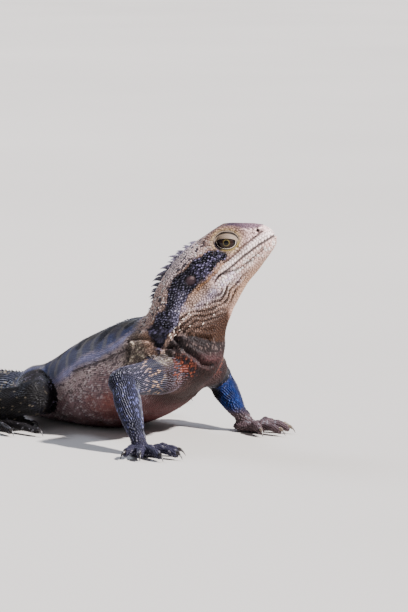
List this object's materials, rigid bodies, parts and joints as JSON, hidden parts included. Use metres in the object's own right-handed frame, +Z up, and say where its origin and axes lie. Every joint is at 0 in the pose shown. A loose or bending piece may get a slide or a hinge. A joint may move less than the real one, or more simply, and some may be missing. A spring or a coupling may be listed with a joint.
{
  "type": "water dragon",
  "caption": "Life-size eastern water dragon lizard resting on its belly, fore body raised on straight-set arms, head turned to its left, long tail laid out behind, spiny crest along the back.",
  "frame": {"origin": "the point where the middle of the belly rests on the floor", "axes": "+X forward, from tail to head; +Y to the animal's left; +Z up"},
  "size_m": [0.6722, 0.1645, 0.1163],
  "materials": {
    "hide": "dry scaly skin of the trunk and tail, grey-brown",
    "head_hide": "dry scaly skin of the head and neck, pale tan with black",
    "limb_hide": "dry scaly skin of the limbs, blue-black with pale flecks",
    "eye": "wet, dark brown eye"
  },
  "bodies": {
    "root": {"head": "head_hide", "lower_jaw": "head_hide", "neck": "head_hide", "torso": "hide", "tail_1": "hide", "tail_2": "hide", "tail_3": "hide", "tail_4": "hide", "right_upper_arm": "limb_hide", "right_forearm": "limb_hide", "right_hand": "limb_hide", "right_thigh": "limb_hide", "right_shank": "limb_hide", "right_foot": "limb_hide", "right_eye": "eye", "left_upper_arm": "limb_hide", "left_forearm": "limb_hide", "left_hand": "limb_hide", "left_thigh": "limb_hide", "left_shank": "limb_hide", "left_foot": "limb_hide", "left_eye": "eye"}
  },
  "joints": []
}
